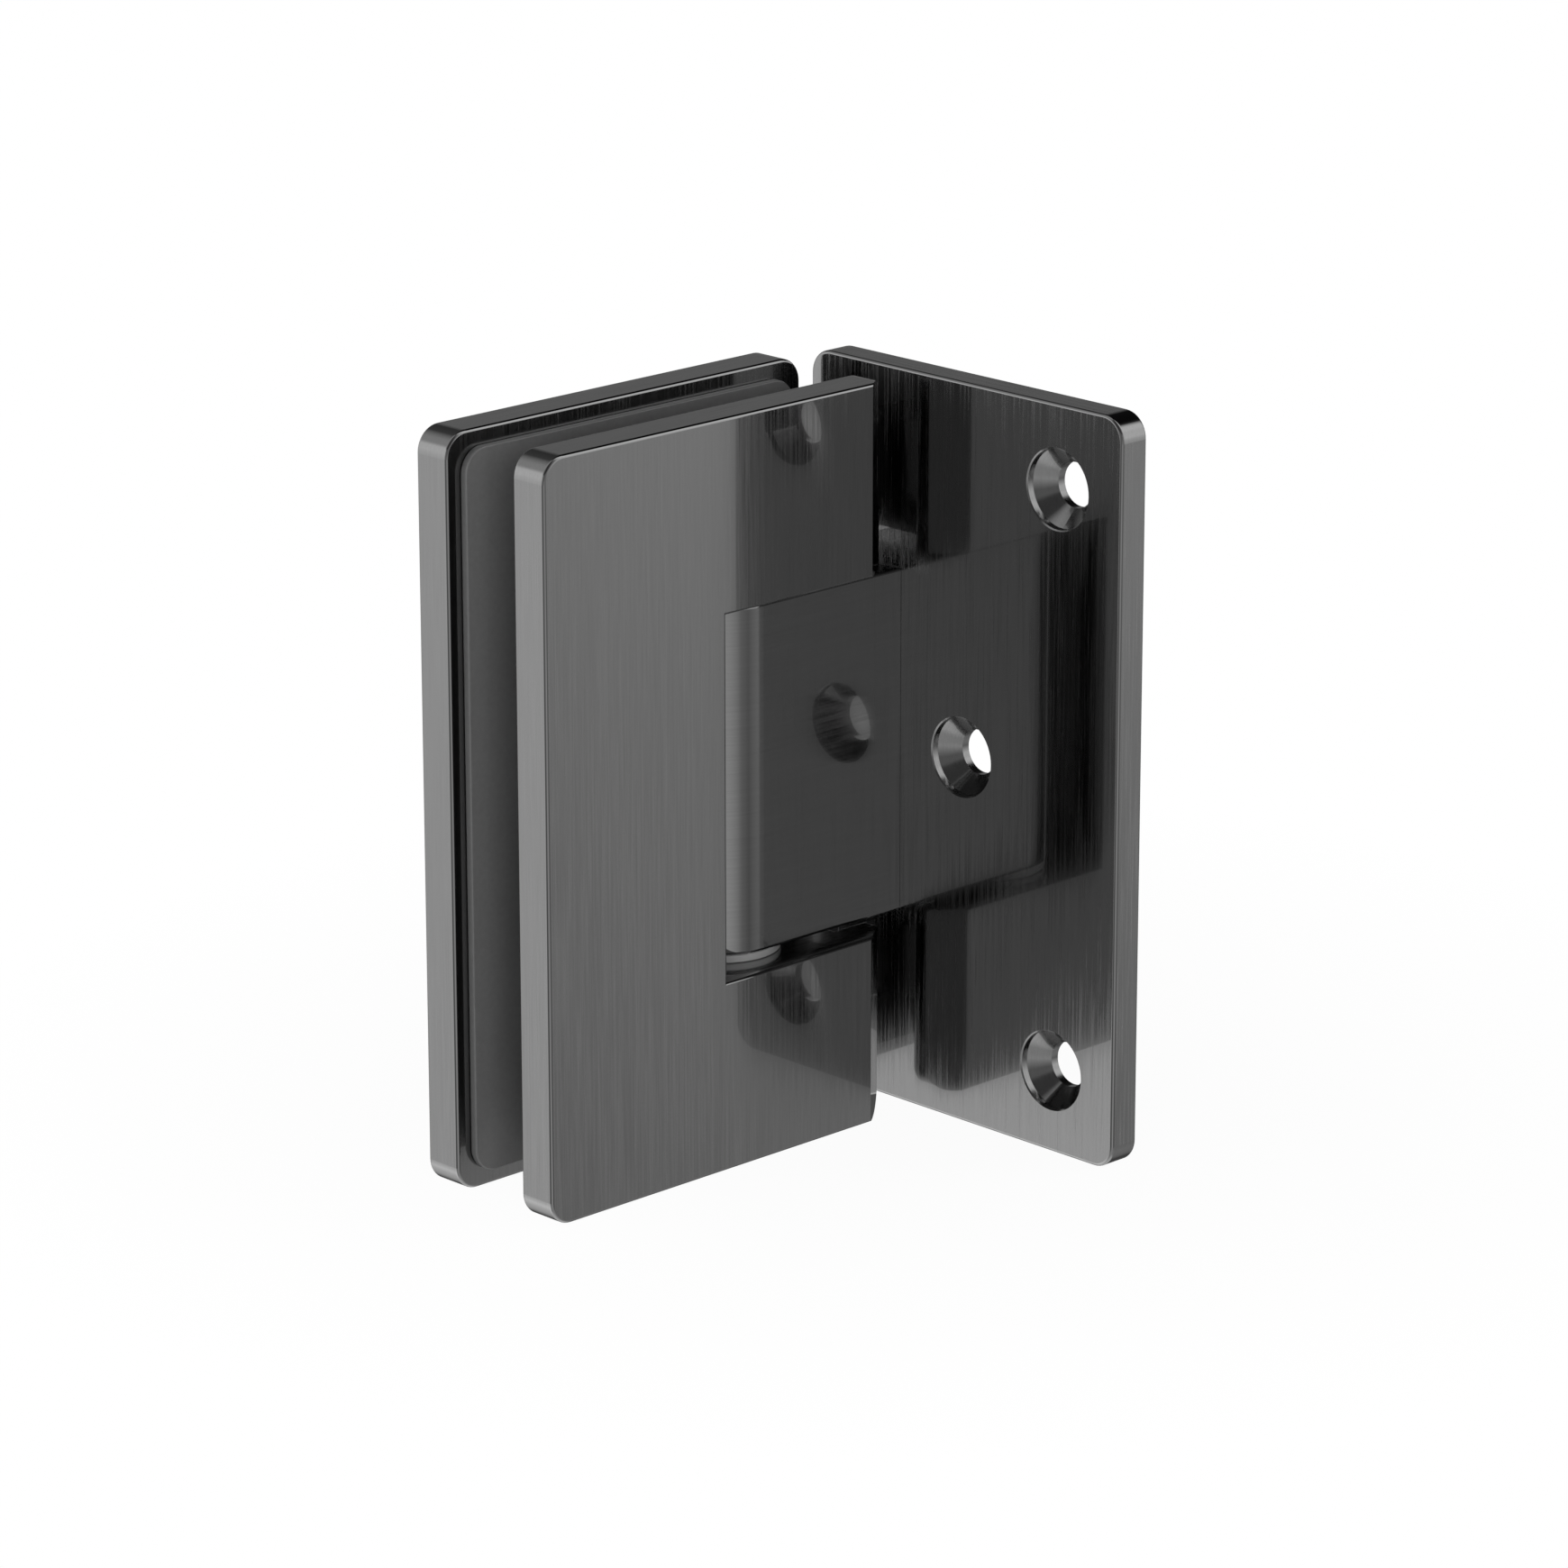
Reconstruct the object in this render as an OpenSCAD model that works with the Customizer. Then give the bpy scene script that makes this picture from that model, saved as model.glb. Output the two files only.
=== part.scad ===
// Wall-to-glass door hinge with an offset wall plate, a half-round pivot block and a two-plate glass clamp.
// X runs towards the wall, Z is up, and the wall plate's back face lies at X = 0.
// The pin's axis lies on Y = 0, and the row's origin is at mid height. All sizes are in millimetres.

/* [Plates] */
// Height of the wall plate and of both clamp plates
plate_height = 90; // [80:1:130]
// Rounding of the plates' corners
corner_radius = 3; // [1.5:0.5:6]
// Rounding along the plates' face edges
edge_radius = 0.4; // [0.2:0.1:0.9]
// Rounding along the cut-outs' edges
cut_out_radius = 0.3; // [0.1:0.05:0.5]
// Width of the fine bevel on the screw holes' mouths
edge_break = 0.15; // [0.05:0.05:0.3]

/* [Glass clamp] */
// Width of the clamp plates, along X
clamp_width = 55; // [52:1:90]
// Thickness of each clamp plate
clamp_plate_thickness = 5.1; // [4.6:0.1:7]
// Gap between the two clamp plates
glass_gap = 11; // [10:0.5:14]
// How far the clamp reaches past the pin's axis, towards the wall
clamp_overhang = 18.3; // [17.5:0.1:18.8]
// Chamfer on the front plate's wall-side edge, along X
chamfer_width = 4; // [3.2:0.1:5]
// Chamfer on the front plate's wall-side edge, along Y
chamfer_depth = 3; // [1:0.1:4]
// Thickness of the gasket on each plate
gasket_thickness = 1; // [0.5:0.1:2]
// Margin left between a gasket and its plate's edges
gasket_margin = 2; // [1:0.1:4]

/* [Wall plate] */
// Width of the wall plate, along Y
wall_plate_width = 50; // [46:1:80]
// Thickness of the wall plate
wall_plate_thickness = 4.1; // [3.8:0.1:6]
// How far the wall plate reaches past the pin's axis, away from its long side
wall_plate_short_side = 7.8; // [7.8:0.1:15]
// Height between the two outer wall screw holes
screw_spacing = 70; // [60:1:72]
// Distance from the outer screw holes to the plate's long edge
screw_edge_distance = 10; // [7:0.5:12]
// Diameter of the wall screw holes
screw_hole_d = 5.4; // [4:0.1:6]
// Diameter of the countersinks' mouths
screw_mouth_d = 9.5; // [8:0.1:11]
// Straight rim above each countersink
screw_mouth_rim = 1; // [0.2:0.1:1.2]

/* [Pivot] */
// Distance from the wall plate's face to the pin's axis
pin_offset = 22.4; // [22.2:0.1:30]
// Height of the pivot block
block_height = 42; // [41:1:46]
// Thickness of the pivot block and diameter of its round end
block_thickness = 14.5; // [14:0.1:15]
// Rounding round the block's upper and lower faces
block_edge_radius = 0.4; // [0.1:0.1:0.6]
// Rounding along the seam where the block's sides meet the wall plate
seam_radius = 0.05; // [0.05:0.05:0.3]
// Gap above and below the block, filled by a thrust washer
washer_gap = 1; // [0.6:0.1:2]
// Diameter of the thrust washers
washer_d = 14; // [12:0.1:14.4]
// Diameter of the pivot pin
pin_d = 8; // [6:0.5:8.5]
// Chamfer on the pin's two ends
pin_chamfer = 0.5; // [0.2:0.1:1]
// Depth of the detent flats on the pin
flat_depth = 0.8; // [0.4:0.1:1.2]
// How far the detent flats reach past the plungers
flat_margin = 1; // [0.5:0.1:1.5]
// Outer diameter of the two bushes
bush_d = 11; // [10.5:0.1:12]
// Height of each bush
bush_height = 8; // [5:0.5:8.5]
// Gap between the block's round end and the clamp's cut-out
notch_gap = 1.85; // [1:0.05:4]

/* [Detent plungers] */
// Height between the two plungers
plunger_spacing = 12.4; // [11:0.1:13]
// Diameter of a plunger
plunger_d = 6.8; // [5:0.1:7.2]
// Length of a plunger's barrel
plunger_length = 8; // [5:0.5:10]
// Diameter of the spring seat behind a plunger
plunger_seat_d = 3; // [2:0.1:3.2]
// Wire diameter of the springs
spring_wire_d = 1.2; // [0.8:0.1:1.4]
// Outer diameter of the springs
spring_d = 6; // [5.4:0.1:6.6]
// Number of free turns in a spring
spring_turns = 4; // [3:1:5]

/* [Lugs and screws] */
// Width of the lugs that carry the pin, along X
lug_width = 36; // [30:1:40]
// Height of each lug
lug_height = 14; // [12:0.5:15]
// Rounding along the lugs' edges
lug_edge_radius = 0.5; // [0.2:0.1:1]
// Step between the lugs and the clamp's wall-side end
lug_setback = 5; // [4:0.5:6]
// Diameter of the clamp screws
clamp_screw_d = 5; // [4:0.5:6]
// Diameter of the clamp screws' heads
clamp_screw_head_d = 10; // [8.5:0.1:11]
// Width across the flats of the clamp screws' sockets
clamp_screw_socket = 3; // [2.5:0.5:4]
// Distance from the pin's axis to the glass-side clamp screws
glass_side_screw_x = 15; // [12:0.5:18]
// Distance from the pin's axis to the wall-side clamp screws
wall_side_screw_x = 8.3; // [8:0.1:9]
// Height of the clamp screws above the lugs' inner faces
clamp_screw_lift = 9.5; // [9:0.1:10.5]
// Diameter of the set screws that hold the pin
set_screw_d = 4; // [3:0.5:4]
// Width across the flats of the set screws' sockets
set_screw_socket = 2; // [1.5:0.5:2]
// Height of the set screws above the lugs' inner faces
set_screw_lift = 3; // [2.5:0.1:3.5]
// Height between the two screws that hold the block on the wall plate
block_screw_spacing = 34; // [33:0.5:35]
// Diameter of the block screws
block_screw_d = 5; // [4:0.5:5]
// Diameter of the block screws' heads
block_screw_head_d = 9.2; // [8:0.1:9.6]
// Width across the flats of the block screws' sockets
block_screw_socket = 3; // [2.5:0.5:4]
// Length of the block screws
block_screw_length = 15; // [10:0.5:16]
// How far every screw sits below the surface that it is sunk into
head_sink = 0.3; // [0.1:0.1:0.5]

/* [Fits] */
// Radial clearance of the pin in its bushes
running_clearance = 0.05; // [0.02:0.01:0.1]
// Radial clearance of pieces that are pressed or screwed in
seat_clearance = 0.03; // [0.01:0.01:0.1]
// Radial clearance of the pin in the block, between the bushes
bore_clearance = 0.3; // [0.2:0.1:0.6]
// Radial clearance of the plungers in their bores
plunger_clearance = 0.1; // [0.05:0.05:0.3]

/* [Hidden] */
eps = 1;
pin_r = pin_d / 2;
pin_x = -(wall_plate_thickness + pin_offset);
wall_face_x = -wall_plate_thickness;
clamp_end_x = pin_x + clamp_overhang;
clamp_start_x = clamp_end_x - clamp_width;
clamp_y = glass_gap / 2 + clamp_plate_thickness;
notch_height = block_height + 2 * washer_gap;
notch_depth = clamp_overhang + block_thickness / 2 + notch_gap;
lug_end_x = clamp_end_x - lug_setback;
lug_start_x = lug_end_x - lug_width;
lug_z = notch_height / 2;
wall_far_y = wall_plate_short_side;
wall_near_y = wall_far_y - wall_plate_width;
outer_screw_y = wall_near_y + screw_edge_distance;
inner_screw_y = wall_near_y + wall_plate_width / 2;
plunger_face_x = pin_x + pin_r + plunger_clearance;
plunger_back_x = plunger_face_x + plunger_length;
spring_length = wall_face_x - plunger_back_x;
washer_height = washer_gap - running_clearance;
lug_root = clamp_plate_thickness / 2;
clamp_screw_length = clamp_y - head_sink + glass_gap / 2 + lug_root;
clamp_screw_places = [
    [-glass_side_screw_x, 1], [wall_side_screw_x, 1],
    [-glass_side_screw_x, -1], [wall_side_screw_x, -1]
];

gunmetal = [0.27, 0.27, 0.28];
dark_steel = [0.34, 0.34, 0.35];
bright_steel = [0.62, 0.63, 0.65];
gasket_grey = [0.3, 0.3, 0.3];
washer_grey = [0.48, 0.48, 0.48];
bush_white = [0.85, 0.84, 0.8];

// A rectangle with softened corners, centred on x and standing on y = 0
module soft_rectangle(span, thickness, radius) {
    translate([-span / 2 + radius, 0])
        square([span - 2 * radius, thickness]);
    translate([-span / 2, radius])
        square([span, thickness - 2 * radius]);
    for (side = [-1, 1], y = [radius, thickness - radius])
        translate([side * (span / 2 - radius), y])
            circle(r = radius, $fn = 24);
}

// Half the section of a disc with softened rims, ready to revolve
module soft_disc_section(disc_r, thickness, radius) {
    square([disc_r - radius, thickness]);
    translate([0, radius])
        square([disc_r, thickness - 2 * radius]);
    for (y = [radius, thickness - radius])
        translate([disc_r - radius, y])
            circle(r = radius, $fn = 24);
}

// The section that rounding an edge takes off, for an edge at the origin with metal over x < 0 and y > 0
module rounding_section(radius) {
    difference() {
        translate([-radius, -eps])
            square([radius + eps, radius + eps]);
        translate([-radius, radius])
            circle(r = radius, $fn = 24);
    }
}

// A plate over X = 0 to width and Y = 0 to thickness, with round corners and softened edges all round
module soft_plate(width, height, thickness) {
    translate([corner_radius, 0, 0])
        rotate([0, 90, 0])
            linear_extrude(width - 2 * corner_radius)
                soft_rectangle(height, thickness, edge_radius);
    translate([width / 2, 0, 0])
        linear_extrude(height - 2 * corner_radius, center = true)
            soft_rectangle(width, thickness, edge_radius);
    for (x = [corner_radius, width - corner_radius], side = [-1, 1])
        translate([x, 0, side * (height / 2 - corner_radius)])
            rotate([-90, 0, 0])
                rotate_extrude($fn = 48)
                    soft_disc_section(corner_radius, thickness, edge_radius);
}

// Countersunk wall screw hole, with its mouth on the wall plate's face
module wall_screw_hole() {
    cone = (screw_mouth_d - screw_hole_d) / 2;
    bevel = edge_break + eps;
    translate([wall_face_x, 0, 0])
        rotate([0, 90, 0]) {
            translate([0, 0, -eps])
                cylinder(d1 = screw_mouth_d + 2 * bevel, d2 = screw_mouth_d, h = bevel, $fn = 64);
            cylinder(d = screw_mouth_d, h = screw_mouth_rim, $fn = 64);
            translate([0, 0, screw_mouth_rim])
                cylinder(d1 = screw_mouth_d, d2 = screw_hole_d, h = cone, $fn = 64);
            cylinder(d = screw_hole_d, h = wall_plate_thickness + eps, $fn = 48);
        }
}

// Countersunk socket screw along -Z, with its head's top on Z = 0
module socket_screw(shank_d, head_d, length, socket_af) {
    cone = (head_d - shank_d) / 2;
    difference() {
        union() {
            translate([0, 0, -cone])
                cylinder(d1 = shank_d, d2 = head_d, h = cone, $fn = 48);
            translate([0, 0, -length])
                cylinder(d = shank_d, h = length, $fn = 32);
        }
        translate([0, 0, -cone])
            cylinder(d = socket_af / cos(30), h = cone + eps, $fn = 6);
    }
}

// The room that a socket screw needs, with its mouth left open above Z = 0
module socket_screw_room(shank_d, head_d, length) {
    wide_head = head_d + 2 * seat_clearance;
    wide_shank = shank_d + 2 * seat_clearance;
    cone = (wide_head - wide_shank) / 2;
    translate([0, 0, -head_sink])
        cylinder(d = wide_head, h = head_sink + eps, $fn = 48);
    translate([0, 0, -head_sink - cone])
        cylinder(d1 = wide_shank, d2 = wide_head, h = cone, $fn = 48);
    translate([0, 0, -head_sink - length])
        cylinder(d = wide_shank, h = length, $fn = 32);
}

// Places its children on a block screw's head: side is 1 for the upper screw and -1 for the lower one
module at_block_screw(side) {
    translate([0, 0, side * block_screw_spacing / 2])
        rotate([0, 90, 0])
            children();
}

module wall_plate() {
    color(gunmetal)
        difference() {
            translate([0, wall_near_y, 0])
                rotate([0, 0, 90])
                    soft_plate(wall_plate_width, plate_height, wall_plate_thickness);
            for (side = [-1, 1])
                translate([0, outer_screw_y, side * screw_spacing / 2])
                    wall_screw_hole();
            translate([0, inner_screw_y, 0])
                wall_screw_hole();
            for (side = [-1, 1])
                at_block_screw(side)
                    socket_screw_room(block_screw_d, block_screw_head_d, block_screw_length);
        }
}

// The block's straight body, up to the wall plate and rounded all round its foot
module block_body() {
    difference() {
        translate([pin_x, -block_thickness / 2, 0])
            rotate([0, 90, 0])
                linear_extrude(pin_offset)
                    soft_rectangle(block_height, block_thickness, block_edge_radius);
        for (side = [0, 1])
            mirror([0, 0, side])
                translate([wall_face_x, block_thickness / 2 + eps, -block_height / 2])
                    rotate([90, 0, 0])
                        linear_extrude(block_thickness + 2 * eps)
                            rounding_section(block_edge_radius);
        for (side = [0, 1])
            mirror([0, side, 0])
                translate([wall_face_x, -block_thickness / 2, -block_height / 2 - eps])
                    linear_extrude(block_height + 2 * eps)
                        rounding_section(seam_radius);
    }
}

// The block's round end and its body, before any boring
module block_blank() {
    translate([pin_x, 0, -block_height / 2])
        rotate_extrude($fn = 96)
            soft_disc_section(block_thickness / 2, block_height, block_edge_radius);
    block_body();
}

module pivot_block() {
    bush_hole_d = bush_d + 2 * seat_clearance;
    color(gunmetal)
        difference() {
            block_blank();
            translate([pin_x, 0, -block_height / 2 - eps])
                cylinder(d = pin_d + 2 * bore_clearance, h = block_height + 2 * eps, $fn = 64);
            translate([pin_x, 0, block_height / 2 - bush_height])
                cylinder(d = bush_hole_d, h = bush_height + eps, $fn = 64);
            translate([pin_x, 0, -block_height / 2 - eps])
                cylinder(d = bush_hole_d, h = bush_height + eps, $fn = 64);
            for (side = [-1, 1])
                translate([pin_x, 0, side * plunger_spacing / 2])
                    rotate([0, 90, 0])
                        cylinder(d = plunger_d + 2 * plunger_clearance, h = pin_offset + eps, $fn = 48);
            for (side = [-1, 1])
                at_block_screw(side)
                    translate([0, 0, -head_sink - block_screw_length - eps])
                        cylinder(d = block_screw_d + 2 * seat_clearance, h = block_screw_length, $fn = 32);
        }
}

module block_screw(side) {
    color(dark_steel)
        at_block_screw(side)
            translate([0, 0, -head_sink])
                socket_screw(block_screw_d, block_screw_head_d, block_screw_length, block_screw_socket);
}

module bush(side) {
    color(bush_white)
        translate([pin_x, 0, side * (block_height - bush_height) / 2])
            difference() {
                cylinder(d = bush_d, h = bush_height, center = true, $fn = 64);
                cylinder(r = pin_r + running_clearance, h = bush_height + 2 * eps, center = true, $fn = 64);
            }
}

// Detent plunger, shown held back by the round of the pin
module plunger(side) {
    seat_length = spring_length / 3;
    color(bright_steel)
        translate([plunger_face_x, 0, side * plunger_spacing / 2])
            rotate([0, 90, 0]) {
                cylinder(d = plunger_d, h = plunger_length, $fn = 48);
                cylinder(d = plunger_seat_d, h = plunger_length + seat_length, $fn = 32);
            }
}

// Coil spring between a plunger and the wall plate, with a flat closed turn at each end
module plunger_spring(side) {
    coil_r = (spring_d - spring_wire_d) / 2;
    inside_d = spring_d - 2 * spring_wire_d;
    free_length = spring_length - spring_wire_d;
    color(bright_steel)
        translate([plunger_back_x, 0, side * plunger_spacing / 2])
            rotate([0, 90, 0]) {
                translate([0, 0, spring_wire_d / 2])
                    linear_extrude(free_length, twist = -360 * spring_turns, slices = 24 * spring_turns)
                        translate([coil_r, 0])
                            circle(d = spring_wire_d, $fn = 10);
                for (z = [0, free_length])
                    translate([0, 0, z])
                        difference() {
                            cylinder(d = spring_d, h = spring_wire_d, $fn = 32);
                            translate([0, 0, -eps])
                                cylinder(d = inside_d, h = spring_wire_d + 2 * eps, $fn = 32);
                        }
            }
}

// The cut-out's section along Z, with rounded edges on the clamp plate's two faces
module cut_out_width() {
    closed_x = clamp_end_x - notch_depth;
    translate([closed_x, -eps])
        square([notch_depth + eps, clamp_plate_thickness + 2 * eps]);
    translate([closed_x, 0])
        rounding_section(cut_out_radius);
    translate([closed_x, clamp_plate_thickness])
        mirror([0, 1])
            rounding_section(cut_out_radius);
}

// The upper half of the cut-out's section along X, with the same rounded edges
module cut_out_height() {
    top = notch_height / 2;
    translate([0, -eps])
        square([top, clamp_plate_thickness + 2 * eps]);
    translate([top, 0])
        mirror([1, 0])
            rounding_section(cut_out_radius);
    translate([top, clamp_plate_thickness])
        mirror([1, 0])
            mirror([0, 1])
                rounding_section(cut_out_radius);
}

// The rounding of the cut-out's upper corner, at the plate's wall-side end
module cut_out_end_rounding() {
    translate([clamp_end_x, clamp_plate_thickness + eps, notch_height / 2])
        rotate([90, 0, 0])
            linear_extrude(clamp_plate_thickness + 2 * eps)
                rounding_section(cut_out_radius);
}

// The cut-out for the pivot block, open towards the wall
module cut_out() {
    intersection() {
        translate([0, 0, -plate_height / 2])
            linear_extrude(plate_height)
                cut_out_width();
        for (side = [0, 1])
            translate([clamp_start_x, 0, 0])
                mirror([0, 0, side])
                    rotate([0, -90, 0])
                        mirror([0, 0, 1])
                            linear_extrude(clamp_width + 2 * eps)
                                cut_out_height();
    }
    for (side = [0, 1])
        mirror([0, 0, side])
            cut_out_end_rounding();
}

// A clamp plate over the clamp's width, with its cut-out for the pivot block
module clamp_plate_blank() {
    difference() {
        translate([clamp_start_x, 0, 0])
            soft_plate(clamp_width, plate_height, clamp_plate_thickness);
        cut_out();
    }
}

// The two lugs that stand on the front plate and carry the pin
module lugs() {
    for (side = [0, 1])
        mirror([0, 0, side])
            translate([lug_start_x + lug_width / 2, glass_gap / 2, lug_z])
                rotate([90, 0, 0])
                    linear_extrude(glass_gap + lug_root)
                        soft_rectangle(lug_width, lug_height, lug_edge_radius);
}

// The wedge taken off the front plate's wall-side edge, on its outer face
module chamfer_wedge() {
    run = 0.25;
    translate([clamp_end_x, -clamp_y, -plate_height / 2 - eps])
        linear_extrude(plate_height + 2 * eps)
            polygon([
                [-chamfer_width * (1 + run), -chamfer_depth * run],
                [chamfer_width * run, chamfer_depth * (1 + run)],
                [chamfer_width * run, -chamfer_depth * run]
            ]);
}

// Places its children on a clamp screw's head, in the back plate's outer face
module at_clamp_screw(place) {
    translate([pin_x + place[0], clamp_y, place[1] * (lug_z + clamp_screw_lift)])
        rotate([-90, 0, 0])
            children();
}

// Places its children on a set screw's outer end, in the lug's wall-side face
module at_set_screw(side) {
    translate([pin_x, 0, side * (lug_z + set_screw_lift)])
        rotate([0, 90, 0])
            children();
}

module front_clamp_plate() {
    color(gunmetal)
        difference() {
            union() {
                translate([0, -clamp_y, 0])
                    clamp_plate_blank();
                lugs();
            }
            chamfer_wedge();
            translate([pin_x, 0, -plate_height / 2])
                cylinder(r = pin_r + seat_clearance, h = plate_height, $fn = 64);
            for (place = clamp_screw_places)
                at_clamp_screw(place)
                    translate([0, 0, -clamp_screw_length - head_sink - eps / 2])
                        cylinder(d = clamp_screw_d + 2 * seat_clearance, h = clamp_screw_length, $fn = 32);
            for (side = [-1, 1])
                at_set_screw(side)
                    cylinder(d = set_screw_d + 2 * seat_clearance, h = clamp_overhang + eps, $fn = 32);
        }
}

module back_clamp_plate() {
    color(gunmetal)
        difference() {
            translate([0, glass_gap / 2, 0])
                clamp_plate_blank();
            for (place = clamp_screw_places)
                at_clamp_screw(place)
                    socket_screw_room(clamp_screw_d, clamp_screw_head_d, clamp_screw_length);
        }
}

// C-shaped gasket, laid flat with its face outline in x and y
module gasket_outline() {
    width = clamp_width - 2 * gasket_margin;
    height = plate_height - 2 * gasket_margin;
    window_x = lug_start_x - gasket_thickness - clamp_start_x - gasket_margin;
    window_z = lug_z + lug_height + gasket_thickness;
    difference() {
        union() {
            translate([corner_radius, -height / 2])
                square([width - 2 * corner_radius, height]);
            translate([0, -height / 2 + corner_radius])
                square([width, height - 2 * corner_radius]);
            for (x = [corner_radius, width - corner_radius], side = [-1, 1])
                translate([x, side * (height / 2 - corner_radius)])
                    circle(r = corner_radius, $fn = 48);
        }
        translate([window_x, -window_z])
            square([width, 2 * window_z]);
    }
}

module gasket(inner_y) {
    color(gasket_grey)
        translate([clamp_start_x + gasket_margin, inner_y, 0])
            rotate([90, 0, 0])
                linear_extrude(gasket_thickness)
                    gasket_outline();
}

// The pin, with a detent flat for the closed door and one for each open stop
module pivot_pin() {
    flat_height = plunger_spacing + plunger_d + 2 * flat_margin;
    pin_length = notch_height + 2 * lug_height;
    color(bright_steel)
        translate([pin_x, 0, 0])
            difference() {
                union() {
                    cylinder(r = pin_r, h = pin_length - 2 * pin_chamfer, center = true, $fn = 64);
                    for (side = [0, 1])
                        mirror([0, 0, side])
                            translate([0, 0, pin_length / 2 - pin_chamfer])
                                cylinder(r1 = pin_r, r2 = pin_r - pin_chamfer, h = pin_chamfer, $fn = 64);
                }
                for (angle = [-90, 0, 90])
                    rotate([0, 0, angle])
                        translate([pin_r - flat_depth, -pin_r, -flat_height / 2])
                            cube([pin_r, pin_d, flat_height]);
            }
}

module thrust_washer(side) {
    hole_r = pin_r + seat_clearance;
    rim_radius = 0.2;
    color(washer_grey)
        translate([pin_x, 0, side * (notch_height - washer_height) / 2 - washer_height / 2])
            difference() {
                rotate_extrude($fn = 96)
                    soft_disc_section(washer_d / 2, washer_height, rim_radius);
                translate([0, 0, -eps])
                    cylinder(r = hole_r, h = washer_height + 2 * eps, $fn = 64);
            }
}

module pin_set_screw(side) {
    tip = pin_r + seat_clearance;
    length = lug_end_x - pin_x - tip - head_sink;
    color(dark_steel)
        at_set_screw(side)
            translate([0, 0, tip])
                difference() {
                    cylinder(d = set_screw_d, h = length, $fn = 32);
                    translate([0, 0, length - set_screw_socket])
                        cylinder(d = set_screw_socket / cos(30), h = set_screw_socket + eps, $fn = 6);
                }
}

module clamp_screw(place) {
    color(dark_steel)
        at_clamp_screw(place)
            translate([0, 0, -head_sink])
                socket_screw(clamp_screw_d, clamp_screw_head_d, clamp_screw_length, clamp_screw_socket);
}

wall_plate();
pivot_block();
block_screw(1);  // block_screw_upper
block_screw(-1);  // block_screw_lower
bush(1);  // bush_upper
bush(-1);  // bush_lower
plunger(1);  // plunger_upper
plunger(-1);  // plunger_lower
plunger_spring(1);  // plunger_spring_upper
plunger_spring(-1);  // plunger_spring_lower
front_clamp_plate();
back_clamp_plate();
gasket(-glass_gap / 2 + gasket_thickness);  // front_gasket
gasket(glass_gap / 2);  // back_gasket
pivot_pin();
thrust_washer(1);  // thrust_washer_upper
thrust_washer(-1);  // thrust_washer_lower
pin_set_screw(1);  // pin_set_screw_upper
pin_set_screw(-1);  // pin_set_screw_lower
for (i = [0:3])
    clamp_screw(clamp_screw_places[i]);
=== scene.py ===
from math import radians

import bpy
from mathutils import Matrix, Vector


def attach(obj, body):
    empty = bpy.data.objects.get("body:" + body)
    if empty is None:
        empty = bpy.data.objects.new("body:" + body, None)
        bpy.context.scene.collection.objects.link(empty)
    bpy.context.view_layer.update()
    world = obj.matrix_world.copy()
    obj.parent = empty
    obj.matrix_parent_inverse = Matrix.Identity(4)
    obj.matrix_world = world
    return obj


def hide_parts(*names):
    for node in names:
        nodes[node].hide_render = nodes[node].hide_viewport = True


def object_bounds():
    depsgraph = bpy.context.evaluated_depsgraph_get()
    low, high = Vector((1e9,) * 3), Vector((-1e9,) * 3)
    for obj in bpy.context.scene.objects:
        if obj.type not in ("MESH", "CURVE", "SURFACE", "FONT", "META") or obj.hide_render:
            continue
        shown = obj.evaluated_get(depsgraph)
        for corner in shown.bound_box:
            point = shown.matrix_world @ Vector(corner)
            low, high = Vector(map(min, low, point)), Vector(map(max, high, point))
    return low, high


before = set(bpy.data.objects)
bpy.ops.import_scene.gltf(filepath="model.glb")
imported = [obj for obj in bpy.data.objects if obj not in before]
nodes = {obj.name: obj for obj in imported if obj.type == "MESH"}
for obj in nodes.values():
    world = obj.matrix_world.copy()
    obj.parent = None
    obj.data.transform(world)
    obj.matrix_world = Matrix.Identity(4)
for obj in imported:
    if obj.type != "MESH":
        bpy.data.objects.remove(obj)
cad_box = [list(corner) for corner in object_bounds()]

# The camera stands in front of the glass side and a little above the hinge, as in the photograph:
# 44 degrees round from the clamp's face and 17 degrees up, through a long lens, a good 0.7 m away.
view_place = (-0.52484, -0.52477, 0.21846)
view_turn = radians(-44.1052)
view_tilt = radians(90 - 16.9624)
view_roll = radians(-0.0512)
camera = bpy.data.objects.new("camera", bpy.data.cameras.new("camera"))
camera.data.lens = 149.07
camera.data.sensor_width = 36
camera.data.clip_start = 0.01
camera.data.dof.use_dof = False
camera.matrix_world = (
    Matrix.Translation(view_place)
    @ Matrix.Rotation(view_turn, 4, "Z")
    @ Matrix.Rotation(view_tilt, 4, "X")
    @ Matrix.Rotation(view_roll, 4, "Z")
)
bpy.context.scene.collection.objects.link(camera)
bpy.context.scene.camera = camera
bpy.context.scene.view_settings.view_transform = "Standard"

# The studio floor: a pale painted floor that the hinge stands on.
# The camera sees it white with a trace of shadow near the hinge, and metal sees past it.
floor_size = 8
floor_gap = 0.0001
floor_shade = 0.9
white_share = 0.95
shadow_reach = (0.03, 0.12)


def new_material(name):
    """A material with only a Principled shader and an output, and the parts to build on it."""
    material = bpy.data.materials.new(name)
    material.use_nodes = True
    tree = material.node_tree
    return material, tree, tree.nodes["Principled BSDF"]


def add_node(tree, kind, **settings):
    """A shader node with its settings and, by their names, the values of its input sockets."""
    node = tree.nodes.new(kind)
    for key, value in settings.items():
        if key in node.bl_rna.properties:
            setattr(node, key, value)
        else:
            node.inputs[key.replace("_", " ")].default_value = value
    return node


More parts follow.
